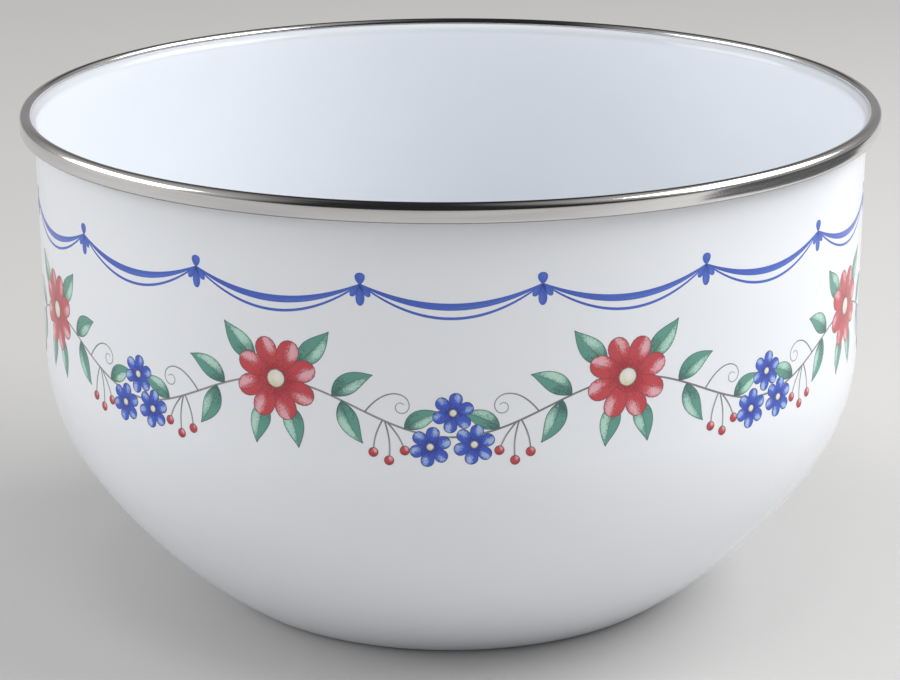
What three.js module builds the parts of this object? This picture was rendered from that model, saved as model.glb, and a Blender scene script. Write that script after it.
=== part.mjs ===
// Enamelled steel mixing bowl with a stainless rim band.
// Millimetres, +Z up, origin on the table under the middle of the base.
//
// The bowl is a pressed steel shell with a glass coat fired onto each face.
// Its lip flares outwards, and a strip of stainless steel is rolled over it.
// Every piece is turned about Z from a section in the (radius, height) half plane.

import * as THREE from 'three';

// Overall sizes
const RIM_DIAMETER = 241;
const HEIGHT = 141;

// Wall and shoulder, measured on the outer enamel
const WALL_TAPER_DEG = 0.6;
const SHOULDER_HEIGHT = 72;
const SHOULDER_RADIUS = 55.6;
const SHOULDER_TURN_DEG = 32.8;

// Base: a flat standing ring round a pushed-up middle
const STANDING_DIAMETER = 125;
const STANDING_RING_WIDTH = 8;
const BASE_CORNER_RADIUS = 8;
const PUSH_UP = 1;
const PUSH_UP_BEND_RADIUS = 9;

// Layers of the wall
const STEEL_THICKNESS = 0.7;
const OUTSIDE_ENAMEL_THICKNESS = 0.25;
const INSIDE_ENAMEL_THICKNESS = 0.25;
const BOND_GAP = 0.02;

// Lip of the bowl
const LIP_FLARE_DEG = 78;
const LIP_FLARE_RADIUS = 1.4;
const LIP_WIDTH = 2.4;

// Rim band: nose on the inside, roll over the lip, skirt on the outside, folded hem below
const BAND_THICKNESS = 0.4;
const BAND_HEIGHT = 5.15;
const BAND_ROLL_RADIUS = 1.9;
const BAND_NOSE_RADIUS = 1.3;
const BAND_HEM_RADIUS = 0.55;
const BAND_CLEARANCE = 0.1;

// Facets: sectors round the axis, and chords in each arc of a section
const SECTORS = 48;
const PUSH_UP_CHORDS = 2;
const CORNER_CHORDS = 2;
const FLANK_CHORDS = 3;
const SHOULDER_CHORDS = 5;
const FLARE_CHORDS = 3;
const HEM_CHORDS = 3;
const ROLL_CHORDS = 4;
const NOSE_CHORDS = 2;

const rad = THREE.MathUtils.degToRad;
const FACING_DOWN = rad(90);
const FACING_OUT = 0;
const FACING_UP = rad(-90);
const FACING_IN = rad(180);

// A section is a list of stations. Each has a point (x is the radius, y the height) and
// the angle of its outward normal below the horizontal. A section runs with its outside
// on the right hand: outwards along the base, then up the wall.
const normal = (angle) => new THREE.Vector2(Math.cos(angle), -Math.sin(angle));
const heading = (angle) => new THREE.Vector2(Math.sin(angle), Math.cos(angle));

// Adds a straight stretch to a section.
function run(section, length) {
  const { point, angle } = section.at(-1);
  section.push({ point: point.clone().addScaledVector(heading(angle), length), angle });
}

// Adds an arc that turns the normal to a new angle. The radius is positive where the
// outside is convex and negative where it is hollow.
function bend(section, radius, newAngle, chords) {
  const { point, angle } = section.at(-1);
  for (let i = 1; i <= chords; i += 1) {
    const turned = THREE.MathUtils.lerp(angle, newAngle, i / chords);
    const step = normal(turned).sub(normal(angle)).multiplyScalar(radius);
    section.push({ point: point.clone().add(step), angle: turned });
  }
}

// The point at a depth under a station's outer face.
const inset = ({ point, angle }, depth) => point.clone().addScaledVector(normal(angle), -depth);

// Height at a given radius on the straight line that leaves a point along a heading.
function heightAtRadius(point, angle, radius) {
  return point.y + ((radius - point.x) * Math.cos(angle)) / Math.sin(angle);
}

// Depths of the layers under the outer face of the wall
const steelOuterDepth = OUTSIDE_ENAMEL_THICKNESS + BOND_GAP;
const steelInnerDepth = steelOuterDepth + STEEL_THICKNESS;
const insideEnamelDepth = steelInnerDepth + BOND_GAP;
const wallThickness = insideEnamelDepth + INSIDE_ENAMEL_THICKNESS;

// The lip's middle line passes through the centre of the band's roll, and the lip stops
// where its two corners are one clearance short of the inside of the roll.
const taper = rad(WALL_TAPER_DEG);
const lipAngle = taper + rad(LIP_FLARE_DEG);
const rollCentre = new THREE.Vector2(RIM_DIAMETER / 2 - BAND_ROLL_RADIUS, HEIGHT - BAND_ROLL_RADIUS);
const lipRoom = BAND_ROLL_RADIUS - BAND_THICKNESS - BAND_CLEARANCE;
const lipReach = Math.sqrt(lipRoom ** 2 - (wallThickness / 2) ** 2);
const lipEdge = rollCentre
  .clone()
  .addScaledVector(heading(lipAngle), lipReach)
  .addScaledVector(normal(lipAngle), wallThickness / 2);

// From the lip's edge back down to the top of the straight wall, then to the shoulder
const wallTop = lipEdge
  .clone()
  .addScaledVector(heading(lipAngle), -LIP_WIDTH)
  .addScaledVector(normal(lipAngle), LIP_FLARE_RADIUS)
  .addScaledVector(normal(taper), -LIP_FLARE_RADIUS);
const wallLength = (wallTop.y - SHOULDER_HEIGHT) / Math.cos(taper);
const shoulderTop = wallTop.clone().addScaledVector(heading(taper), -wallLength);
const shoulderFootAngle = taper + rad(SHOULDER_TURN_DEG);
const shoulderFoot = shoulderTop
  .clone()
  .addScaledVector(normal(shoulderFootAngle), SHOULDER_RADIUS)
  .addScaledVector(normal(taper), -SHOULDER_RADIUS);

// The flank is the one arc that leaves the shoulder smoothly and runs smoothly into the
// base corner: its centre lies on the shoulder foot's normal, and its circle touches the
// corner's circle from inside.
const cornerCentre = new THREE.Vector2(STANDING_DIAMETER / 2, BASE_CORNER_RADIUS);
const toShoulder = shoulderFoot.clone().sub(cornerCentre);
const flankRadius =
  (toShoulder.lengthSq() - BASE_CORNER_RADIUS ** 2) /
  (2 * (toShoulder.dot(normal(shoulderFootAngle)) - BASE_CORNER_RADIUS));
const flankCentre = shoulderFoot.clone().addScaledVector(normal(shoulderFootAngle), -flankRadius);
const cornerNormal = cornerCentre.clone().sub(flankCentre).divideScalar(flankRadius - BASE_CORNER_RADIUS);
const cornerTopAngle = Math.atan2(-cornerNormal.y, cornerNormal.x);

// The pushed-up middle is two equal and opposite bends.
const pushUpTurn = Math.acos(1 - PUSH_UP / (2 * PUSH_UP_BEND_RADIUS));
const pushUpRun = 2 * PUSH_UP_BEND_RADIUS * Math.sin(pushUpTurn);
const middleRadius = STANDING_DIAMETER / 2 - STANDING_RING_WIDTH - pushUpRun;

// The outer face of the bowl, from the middle of the base to the edge of the lip.
function outerSkin() {
  const skin = [{ point: new THREE.Vector2(0, PUSH_UP), angle: FACING_DOWN }];
  run(skin, middleRadius);
  bend(skin, -PUSH_UP_BEND_RADIUS, FACING_DOWN + pushUpTurn, PUSH_UP_CHORDS);
  bend(skin, PUSH_UP_BEND_RADIUS, FACING_DOWN, PUSH_UP_CHORDS);
  run(skin, STANDING_RING_WIDTH);
  bend(skin, BASE_CORNER_RADIUS, cornerTopAngle, CORNER_CHORDS);
  bend(skin, flankRadius, shoulderFootAngle, FLANK_CHORDS);
  bend(skin, SHOULDER_RADIUS, taper, SHOULDER_CHORDS);
  run(skin, wallLength);
  bend(skin, -LIP_FLARE_RADIUS, lipAngle, FLARE_CHORDS);
  run(skin, LIP_WIDTH);
  return skin;
}

// The outer face of the rim band, from the top of the hem's folded leg, which bears up
// under the lip, round the skirt and the roll to the nose, which bears down on its inside.
function bandFace() {
  const hemRadius = RIM_DIAMETER / 2 - 2 * BAND_HEM_RADIUS;
  const hemTop = heightAtRadius(lipEdge, lipAngle, hemRadius) - BAND_CLEARANCE;
  const skirtFoot = HEIGHT - BAND_HEIGHT + BAND_HEM_RADIUS;
  const lipInside = inset({ point: lipEdge, angle: lipAngle }, wallThickness);
  const noseRadius = rollCentre.x - BAND_NOSE_RADIUS + BAND_THICKNESS;
  const noseFoot = heightAtRadius(lipInside, lipAngle, noseRadius) + BAND_CLEARANCE;

  const face = [{ point: new THREE.Vector2(hemRadius, hemTop), angle: FACING_IN }];
  run(face, hemTop - skirtFoot);
  bend(face, BAND_HEM_RADIUS, FACING_OUT, HEM_CHORDS);
  run(face, rollCentre.y - skirtFoot);
  bend(face, BAND_ROLL_RADIUS, FACING_UP, ROLL_CHORDS);
  bend(face, BAND_NOSE_RADIUS, -FACING_IN, NOSE_CHORDS);
  run(face, HEIGHT - BAND_NOSE_RADIUS - noseFoot);
  return face;
}

// Closes a layer between two depths under a face: out along one, back along the other.
function layer(face, outerDepth, innerDepth) {
  const outer = face.map((station) => inset(station, outerDepth));
  const inner = face.map((station) => inset(station, innerDepth));
  return [...outer, ...inner.reverse()];
}

// Turns a section about Z into a named mesh.
function turned(name, profile, finish) {
  const geometry = new THREE.LatheGeometry(profile, SECTORS);
  geometry.rotateX(Math.PI / 2);
  const mesh = new THREE.Mesh(geometry, new THREE.MeshStandardMaterial(finish));
  mesh.name = name;
  return mesh;
}

const STEEL = { color: '#5d6166', roughness: 0.5, metalness: 1 };
const OUTSIDE_ENAMEL = { color: '#eceef2', roughness: 0.16, metalness: 0 };
const INSIDE_ENAMEL = { color: '#e9eff7', roughness: 0.16, metalness: 0 };
const STAINLESS = { color: '#c8cacd', roughness: 0.14, metalness: 1 };

const skin = outerSkin();
const bandProfile = layer(bandFace(), 0, BAND_THICKNESS);
bandProfile.push(bandProfile[0].clone());

const bowl = new THREE.Group();
bowl.name = 'mixing_bowl';
bowl.add(turned('outside_enamel', layer(skin, 0, OUTSIDE_ENAMEL_THICKNESS), OUTSIDE_ENAMEL));
bowl.add(turned('steel_shell', layer(skin, steelOuterDepth, steelInnerDepth), STEEL));
bowl.add(turned('inside_enamel', layer(skin, insideEnamelDepth, wallThickness), INSIDE_ENAMEL));
bowl.add(turned('rim_band', bandProfile, STAINLESS));

export default bowl;
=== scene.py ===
"""Enamelled steel mixing bowl with a stainless rim band, dressed for the studio.

Metres, +Z up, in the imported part's frame: the origin is on the table, under the middle of the base.
The bowl's layers and its rim band are turned surfaces, and the print is thin ink fired onto the outer wall.
"""

import logging
import math
from dataclasses import dataclass, field
from enum import Enum

import bpy
import numpy as np
from mathutils import Matrix, Vector


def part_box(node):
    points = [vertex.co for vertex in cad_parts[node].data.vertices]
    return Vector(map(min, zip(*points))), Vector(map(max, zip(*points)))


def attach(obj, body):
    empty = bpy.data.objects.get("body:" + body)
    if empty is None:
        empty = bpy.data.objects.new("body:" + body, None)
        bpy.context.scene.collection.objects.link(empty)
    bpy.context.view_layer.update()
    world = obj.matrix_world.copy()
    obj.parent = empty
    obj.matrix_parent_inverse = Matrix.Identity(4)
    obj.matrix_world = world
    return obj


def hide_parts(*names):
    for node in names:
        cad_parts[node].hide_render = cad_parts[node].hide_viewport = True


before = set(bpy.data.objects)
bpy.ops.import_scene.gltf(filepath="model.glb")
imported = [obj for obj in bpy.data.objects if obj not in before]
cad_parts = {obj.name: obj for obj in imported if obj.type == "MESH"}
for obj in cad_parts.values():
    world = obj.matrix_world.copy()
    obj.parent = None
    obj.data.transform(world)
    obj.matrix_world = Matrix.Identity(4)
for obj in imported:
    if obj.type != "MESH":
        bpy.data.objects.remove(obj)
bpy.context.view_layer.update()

LOG = logging.getLogger("mixing_bowl")
BODY = "root"
MM = 0.001
FACING_OUT = 0.0
FACING_DOWN = math.pi / 2
FACING_UP = -math.pi / 2
FACING_IN = math.pi

# Index of refraction of the enamel and the inks
GLASS_INDEX = 1.52
# Least share of its half-width that a blade has at its foot and its tip
BLUNT_TIP = 0.03
# Power of the share along a lance, which puts its widest place below its middle
LANCE_SKEW = 0.8
# Least squared length of a chord that a share is taken along
LEAST_SQUARE = 1e-18

Array = np.ndarray
Colour = tuple[float, float, float]
Socket = bpy.types.NodeSocket


# Sections and meshes


@dataclass(frozen=True)
class Section:
    """Stations along a face in the (radius, height) half plane.

    Attributes:
        points: One row (radius, height) for each station.
        angles: The angle of each station's outward normal below the horizontal.
    """

    points: Array
    angles: Array

    @property
    def normals(self) -> Array:
        """Outward normals: the cosine and the negative sine of each angle."""
        return np.stack([np.cos(self.angles), -np.sin(self.angles)], axis=1)

    @property
    def lengths(self) -> Array:
        """Distance of each station along the face, summed from chord to chord."""
        chords = np.linalg.norm(np.diff(self.points, axis=0), axis=1)
        return np.concatenate([[0.0], np.cumsum(chords)])

    def inset(self, depth: float) -> Array:
        """Points at a depth under the face: each point less the depth along its normal."""
        return self.points - depth * self.normals

    def layer(self, outer_depth: float, inner_depth: float) -> Array:
        """Profile of a layer between two depths: out along one face and back along the other."""
        return np.concatenate([self.inset(outer_depth), self.inset(inner_depth)[::-1]])


class SectionPen:
    """Draws a section from straight runs and round bends, with its outside on the right hand."""

    def __init__(self, radius: float, height: float, angle: float) -> None:
        """Starts at a point, with the outward normal at an angle below the horizontal."""
        self._points = np.array([[radius, height]])
        self._angles = np.array([angle])

    def run(self, length: float, steps: int = 1) -> None:
        """Adds a straight stretch: the last point plus equal shares of the length along the heading.

        Args:
            length: Length of the stretch.
            steps: Number of stations it adds.
        """
        angle = self._angles[-1]
        heading = np.array([math.sin(angle), math.cos(angle)])
        shares = np.linspace(0.0, length, steps + 1)[1:, None]
        self._add(self._points[-1] + shares * heading, np.full(steps, angle))

    def bend(self, radius: float, angle: float, steps: int) -> None:
        """Adds an arc: the last point plus the radius times the change of the unit normal.

        Args:
            radius: Radius of the arc, positive where the outside is convex and negative where it is hollow.
            angle: Angle of the normal at the arc's end.
            steps: Number of stations it adds.
        """
        angles = np.linspace(self._angles[-1], angle, steps + 1)
        normals = np.stack([np.cos(angles), -np.sin(angles)], axis=1)
        self._add(self._points[-1] + radius * (normals[1:] - normals[0]), angles[1:])

    def section(self) -> Section:
        """The section drawn so far."""
        return Section(self._points, self._angles)

    def _add(self, points: Array, angles: Array) -> None:
        """Appends stations."""
        self._points = np.concatenate([self._points, points])
        self._angles = np.concatenate([self._angles, angles])


@dataclass
class MeshData:
    """Arrays of one mesh.

    Attributes:
        vertices: One row (x, y, z) for each vertex.
        faces: Blocks of vertex numbers, one row for each face, each block with one corner count.
        values: Named numbers, one for each vertex, that the materials read.
    """

    vertices: Array
    faces: list[Array]
    values: dict[str, Array] = field(default_factory=dict)

    def to_object(self, name: str, material: bpy.types.Material, crease: float = 40.0) -> bpy.types.Object:
        """Puts the arrays into a smooth-shaded mesh object at the origin.

        Args:
            name: Name of the object.
            material: Its finish.
            crease: Angle in degrees above which an edge stays sharp.

        Returns:
            The new object, linked to the scene.
        """
        corners = np.concatenate([np.full(len(block), block.shape[1]) for block in self.faces])
        mesh = bpy.data.meshes.new(name)
        mesh.vertices.add(len(self.vertices))
        mesh.vertices.foreach_set("co", self.vertices.astype(np.float32).ravel())
        mesh.loops.add(int(corners.sum()))
        mesh.loops.foreach_set("vertex_index", np.concatenate([block.ravel() for block in self.faces]))
        mesh.polygons.add(len(corners))
        mesh.polygons.foreach_set("loop_start", np.cumsum(corners) - corners)
        mesh.update(calc_edges=True)
        for label, numbers in self.values.items():
            layer = mesh.attributes.new(label, "FLOAT", "POINT")
            layer.data.foreach_set("value", numbers.astype(np.float32).ravel())
        mesh.shade_smooth()
        mesh.set_sharp_from_angle(angle=math.radians(crease))
        mesh.materials.append(material)
        made = bpy.data.objects.new(name, mesh)
        bpy.context.scene.collection.objects.link(made)
        return made


def grid_quads(rows: int, columns: int, rows_wrap: bool, columns_wrap: bool) -> Array:
    """Quads of a grid of vertices numbered row by row, each running along its row and then up.

    Args:
        rows: Number of rows.
        columns: Number of columns.
        rows_wrap: Whether the last row joins the first.
        columns_wrap: Whether the last column joins the first.

    Returns:
        Vertex numbers, four for each quad.
    """
    row = np.arange(rows if rows_wrap else rows - 1)[:, None]
    column = np.arange(columns if columns_wrap else columns - 1)[None, :]
    low, high = row * columns, (row + 1) % rows * columns
    left, right = column, (column + 1) % columns
    return np.stack([low + left, low + right, high + right, high + left], axis=-1).reshape(-1, 4)


def turned(profile: Array, sectors: int) -> MeshData:
    """Turns a closed profile about Z: each ring is (r cos a, r sin a, z) at equal angles a.

    A profile whose two ends lie on the axis gets a pole at each end. Any other closes as a loop.

    Args:
        profile: One row (radius, height) for each ring, with the solid on the left hand.
        sectors: Number of vertices in a ring.

    Returns:
        The turned surface, with the distance along the profile as the value "across".
    """
    poled = np.isclose(profile[[0, -1], 0], 0.0).all()
    rings = profile[1:-1] if poled else profile
    turn = np.linspace(0.0, 2 * np.pi, sectors, endpoint=False)
    circle = np.stack([np.cos(turn), np.sin(turn)], axis=1)
    flat = rings[:, None, :1] * circle
    height = np.broadcast_to(rings[:, None, 1:], (*flat.shape[:2], 1))
    vertices = np.concatenate([flat, height], axis=2).reshape(-1, 3)
    faces = [grid_quads(len(rings), sectors, not poled, True)]
    chords = np.linalg.norm(np.diff(rings, axis=0), axis=1)
    across = np.repeat(np.concatenate([[0.0], np.cumsum(chords)]), sectors)
    if poled:
        first, last = len(vertices), len(vertices) + 1
        foot = np.arange(sectors)
        crown = foot + (len(rings) - 1) * sectors
        faces.append(np.stack([np.full(sectors, first), np.roll(foot, -1), foot], axis=1))
        faces.append(np.stack([crown, np.roll(crown, -1), np.full(sectors, last)], axis=1))
        vertices = np.concatenate([vertices, [[0.0, 0.0, profile[0, 1]], [0.0, 0.0, profile[-1, 1]]]])
        across = np.concatenate([across, across[[0, -1]]])
    return MeshData(vertices, faces, {"across": across})


# Finishes


class Nodes:
    """A node tree, built one node at a time."""

    def __init__(self, tree: bpy.types.NodeTree) -> None:
        """Takes the tree that the nodes go into."""
        self._tree = tree

    def node(self, kind: str, inputs: dict[str | int, object], **settings: object) -> bpy.types.Node:
        """Adds a node.

        Args:
            kind: Blender's name of the node type.
            inputs: A number, colour or socket for each named or numbered input.
            settings: The node's own properties.

        Returns:
            The new node.
        """
        made = self._tree.nodes.new(kind)
        for label, value in settings.items():
            setattr(made, label, value)
        for key, value in inputs.items():
            self.feed(made.inputs[key], value)
        return made

    def feed(self, target: Socket, value: object) -> None:
        """Links a socket to an input, or sets the input to a value."""
        if isinstance(value, Socket):
            self._tree.links.new(value, target)
        else:
            target.default_value = value

    def noise(self, vector: Socket, scale: float, detail: float = 2.0, roughness: float = 0.5) -> Socket:
        """Smooth noise from 0 to 1, with scale cells to a metre."""
        inputs = {"Vector": vector, "Scale": scale, "Detail": detail, "Roughness": roughness}
        return self.node("ShaderNodeTexNoise", inputs).outputs[0]

    def grain(self, vector: Socket, scale: float, detail: float, reach: float) -> Socket:
        """Noise about nought: its middle half spread from minus the reach to the reach."""
        return self.span(self.noise(vector, scale, detail), 0.25, 0.75, -reach, reach)

    def total(self, first: object, second: object) -> Socket:
        """First plus second."""
        return self.node("ShaderNodeMath", {0: first, 1: second}, operation="ADD").outputs[0]

    def product(self, first: object, second: object) -> Socket:
        """First times second."""
        return self.node("ShaderNodeMath", {0: first, 1: second}, operation="MULTIPLY").outputs[0]

    def magnitude(self, value: Socket) -> Socket:
        """The value without its sign."""
        return self.node("ShaderNodeMath", {0: value}, operation="ABSOLUTE").outputs[0]

    def ease(self, value: Socket, start: float, end: float, low: float = 0.0, high: float = 1.0) -> Socket:
        """Smooth step from low at the start to high at the end."""
        inputs = {"Value": value, "From Min": start, "From Max": end, "To Min": low, "To Max": high}
        return self.node("ShaderNodeMapRange", inputs, interpolation_type="SMOOTHSTEP").outputs[0]

    def span(self, value: Socket, start: float, end: float, low: float = 0.0, high: float = 1.0) -> Socket:
        """Straight line from low at the start to high at the end, carried on past both."""
        inputs = {"Value": value, "From Min": start, "From Max": end, "To Min": low, "To Max": high}
        return self.node("ShaderNodeMapRange", inputs, clamp=False).outputs[0]

    def mix(self, factor: Socket, first: object, second: object) -> Socket:
        """Colour between the first and the second."""
        inputs = {0: factor, 6: opaque(first), 7: opaque(second)}
        return self.node("ShaderNodeMix", inputs, data_type="RGBA").outputs[2]

    def vector(self, x: object, y: object, z: object) -> Socket:
        """A vector from three numbers."""
        return self.node("ShaderNodeCombineXYZ", {0: x, 1: y, 2: z}).outputs[0]

    def parts(self, vector: Socket) -> list[Socket]:
        """The three numbers of a vector."""
        return list(self.node("ShaderNodeSeparateXYZ", {0: vector}).outputs)

    def cosine(self, vector: Socket, direction: Vector) -> Socket:
        """Cosine of the angle between a unit vector and a fixed direction: their dot product."""
        inputs = {0: vector, 1: direction}
        return self.node("ShaderNodeVectorMath", inputs, operation="DOT_PRODUCT").outputs["Value"]

    def bump(self, height: Socket, distance: float, strength: float = 1.0) -> Socket:
        """A normal tilted by a height that is scaled to a distance in metres."""
        inputs = {"Height": height, "Distance": distance, "Strength": strength}
        return self.node("ShaderNodeBump", inputs).outputs[0]


class Shader(Nodes):
    """A material with one principled shader."""

    def __init__(self, name: str) -> None:
        """Makes the material."""
        self.material = bpy.data.materials.new(name)
        self.material.use_nodes = True
        super().__init__(self.material.node_tree)
        self._surface = self.material.node_tree.nodes["Principled BSDF"]

    def dress(self, **inputs: object) -> None:
        """Feeds the principled shader, its inputs named with underscores for spaces."""
        for label, value in inputs.items():
            self.feed(self._surface.inputs[label.replace("_", " ")], value)

    def place(self) -> Socket:
        """Object coordinates, in metres."""
        return self.node("ShaderNodeTexCoord", {}).outputs["Object"]

    def value(self, label: str) -> Socket:
        """A mesh's own named value."""
        return self.node("ShaderNodeAttribute", {}, attribute_name=label).outputs["Fac"]


def opaque(colour: object) -> object:
    """A colour with full alpha, or the socket that was given."""
    return colour if isinstance(colour, Socket) else (*colour, 1.0)


@dataclass(frozen=True)
class EnamelFinish:
    """Gloss white glass enamel with a faint orange-peel skin.

    Attributes:
        name: Name of the material.
        colour: Base colour.
        shade: Colour of its faint clouding.
        worn_below: Height under which the table scuffs it, in metres.
        worn_fade: Height over which the scuffs fade, in metres.
        thin_above: Height over which painted shade greys it towards the ground coat's colour, in metres.
        thin_fade: Height over which the painted shade fades in, in metres.
        thin_share: Share of the ground coat's colour in the painted shade.
        skin_depth: Depth of the skin's waves, in metres.
        peel_share: Height of the orange peel as a share of the waves.
    """

    name: str
    colour: Colour
    shade: Colour
    worn_below: float = -1.0
    worn_fade: float = 0.1 * MM
    thin_above: float = 1.0
    thin_fade: float = 2 * MM
    thin_share: float = 0.24
    skin_depth: float = 0.12 * MM
    peel_share: float = 0.035
    roughness: float = 0.14
    roughness_spread: float = 0.05
    scuff_roughness: float = 0.4
    speck: Colour = (0.22, 0.20, 0.19)
    speck_share: float = 0.55
    ground_coat: Colour = (0.18, 0.19, 0.21)

    def material(self) -> bpy.types.Material:
        """Makes the material: clouding, rare specks, scuffs, painted shade near the lip, and the skin's
        waviness.
        """
        shader = Shader(self.name)
        place = shader.place()
        height = shader.parts(place)[2]
        cloud = shader.ease(shader.noise(place, 22.0, 3.0), 0.3, 0.7)
        low = shader.ease(height, self.worn_below + self.worn_fade, self.worn_below)
        scuff = shader.product(low, shader.ease(shader.noise(place, 260.0, 6.0, 0.7), 0.46, 0.6))
        # Painted shade: above a height near the lip the colour greys towards the ground coat's colour
        thin = shader.ease(height, self.thin_above, self.thin_above + self.thin_fade, 0.0, self.thin_share)
        colour = shader.mix(cloud, self.colour, self.shade)
        colour = shader.mix(self._specks(shader, place), colour, self.speck)
        colour = shader.mix(scuff, colour, self.ground_coat)
        colour = shader.mix(thin, colour, self.ground_coat)
        wave = shader.noise(place, 42.0, 1.0)
        peel = shader.product(shader.noise(place, 420.0, 2.0), self.peel_share)
        roughest = self.roughness + self.roughness_spread
        gloss = shader.ease(shader.noise(place, 90.0, 3.0), 0.3, 0.75, self.roughness, roughest)
        shader.dress(
            Base_Color=colour,
            Roughness=shader.total(gloss, shader.product(scuff, self.scuff_roughness)),
            Normal=shader.bump(shader.total(wave, peel), self.skin_depth),
            IOR=GLASS_INDEX,
        )
        return shader.material

    def _specks(self, shader: Shader, place: Socket) -> Socket:
        """Rare round specks: near the middle of those cells whose random number is highest."""
        cells = shader.node("ShaderNodeTexVoronoi", {"Vector": place, "Scale": 95.0})
        chosen = shader.ease(shader.parts(cells.outputs["Color"])[0], 0.93, 0.94)
        near = shader.ease(cells.outputs["Distance"], 0.022, 0.014)
        return shader.product(shader.product(chosen, near), self.speck_share)


@dataclass(frozen=True)
class StainlessFinish:
    """Polished strip with fine marks along it, with painted shade in the fold at its foot, where it is also
    rougher.

    Attributes:
        fold: Distances across the strip's face at which the painted shade and roughness in the fold start to
            fade and have faded.
        along_scale: Cells of the noise to a metre along the strip.
        mark_scale: Cells of the fine marks to a metre across the strip.
        smear_scale: Cells of the smears to a metre across the strip.
        mark_depth: Depth of the marks, in metres.
    """

    fold: tuple[float, float]
    name: str = "polished_stainless"
    colour: Colour = (0.75, 0.74, 0.73)
    shade: Colour = (0.66, 0.65, 0.645)
    dull: Colour = (0.23, 0.225, 0.22)
    roughness: float = 0.09
    roughness_spread: float = 0.09
    dull_roughness: float = 0.2
    along_scale: float = 26.0
    mark_scale: float = 5200.0
    smear_scale: float = 600.0
    mark_depth: float = 0.002 * MM

    def material(self) -> bpy.types.Material:
        """Makes the material: noise long round the rim and fine across the strip, and painted shade in the
        fold.
        """
        shader = Shader(self.name)
        x, y, _ = shader.parts(shader.place())
        across = shader.value("across")
        along = [shader.product(x, self.along_scale), shader.product(y, self.along_scale)]
        marks = shader.noise(shader.vector(*along, shader.product(across, self.mark_scale)), 1.0, 3.0, 0.65)
        smears = shader.noise(shader.vector(*along, shader.product(across, self.smear_scale)), 1.0, 2.0)
        # Painted shade: the fold at the hem's foot is darkened towards the fold shade's colour, and made
        # rougher
        folded = shader.ease(across, *reversed(self.fold))
        colour = shader.mix(shader.ease(smears, 0.35, 0.7), self.colour, self.shade)
        polish = shader.ease(marks, 0.3, 0.75, self.roughness, self.roughness + self.roughness_spread)
        shader.dress(
            Base_Color=shader.mix(folded, colour, self.dull),
            Metallic=1.0,
            Roughness=shader.total(polish, shader.product(folded, self.dull_roughness)),
            Normal=shader.bump(marks, self.mark_depth, 0.5),
        )
        return shader.material


@dataclass(frozen=True)
class SheetSteelFinish:
    """Dark pickled sheet under the enamel."""

    name: str = "pickled_sheet_steel"
    colour: Colour = (0.12, 0.125, 0.135)
    shade: Colour = (0.075, 0.08, 0.09)

    def material(self) -> bpy.types.Material:
        """Makes the material: mottled colour and roughness from one noise."""
        shader = Shader(self.name)
        mottle = shader.noise(shader.place(), 180.0, 5.0, 0.6)
        shader.dress(
            Base_Color=shader.mix(mottle, self.colour, self.shade),
            Metallic=1.0,
            Roughness=shader.span(mottle, 0.0, 1.0, 0.42, 0.6),
        )
        return shader.material


@dataclass(frozen=True)
class InkFinish:
    """Fired ink, dabbed on in a stipple: deep at the foot, with one pale dab and a thin outline.

    Attributes:
        name: Name of the material.
        deep: Colour at the foot and along the middle.
        body: Main colour.
        pale: Colour of the dab.
        outline: Colour of the outline and the midrib.
        dab: The dab's middle, along the shape from 0 to 1 and across it from -1 to 1.
        outline_width: Width of the outline in metres, or 0 for none.
        midrib: Half-width of the midrib as a share of the shape's, or 0 for none.
        dab_reach: How far the dab reaches, along the shape and across it.
        tone_reach: How far a shape's own random tone pulls the dab in.
        stipple_reach: How far the fine stipple moves the edges of the colours.
        wash_reach: How far the broad wash moves them.
        midrib_strength: Share of the outline's colour in the midrib.
        outline_strength: Share of it in the outline.
    """

    name: str
    deep: Colour
    body: Colour
    pale: Colour
    outline: Colour
    dab: tuple[float, float] = (0.7, 0.35)
    outline_width: float = 0.0
    midrib: float = 0.0
    dab_reach: tuple[float, float] = (0.42, 0.7)
    tone_reach: float = 0.45
    stipple_reach: float = 0.28
    wash_reach: float = 0.16
    midrib_strength: float = 0.75
    outline_strength: float = 0.85

    def material(self) -> bpy.types.Material:
        """Makes the material from the mesh's own values along, across, edge and tone."""
        shader = Shader(self.name)
        along, across = shader.value("along"), shader.value("across")
        place = shader.place()
        stipple = shader.grain(place, 2600.0, 1.0, self.stipple_reach)
        wash = shader.grain(place, 330.0, 2.0, self.wash_reach)
        grain = shader.total(stipple, wash)
        depth = shader.ease(shader.total(along, grain), 0.02, 0.5)
        colour = shader.mix(depth, self.deep, self.body)
        from_dab = shader.vector(
            shader.span(along, self.dab[0], self.dab[0] + self.dab_reach[0]),
            shader.span(across, self.dab[1], self.dab[1] + self.dab_reach[1]),
            shader.product(shader.value("tone"), self.tone_reach),
        )
        reach = shader.node("ShaderNodeVectorMath", {0: from_dab}, operation="LENGTH").outputs["Value"]
        dabbed = shader.ease(shader.total(reach, grain), 1.0, 0.25)
        colour = shader.mix(dabbed, colour, self.pale)
        if self.midrib:
            taper = shader.product(along, 0.5 * self.midrib)
            from_rib = shader.total(shader.magnitude(across), taper)
            rib = shader.ease(from_rib, 1.5 * self.midrib, 0.6 * self.midrib)
            colour = shader.mix(shader.product(rib, self.midrib_strength), colour, self.outline)
        if self.outline_width:
            line = shader.ease(shader.value("edge"), self.outline_width, 0.55 * self.outline_width)
            colour = shader.mix(shader.product(line, self.outline_strength), colour, self.outline)
        shader.dress(Base_Color=colour, Roughness=shader.span(grain, -0.4, 0.4, 0.15, 0.2), IOR=GLASS_INDEX)
        return shader.material


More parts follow.
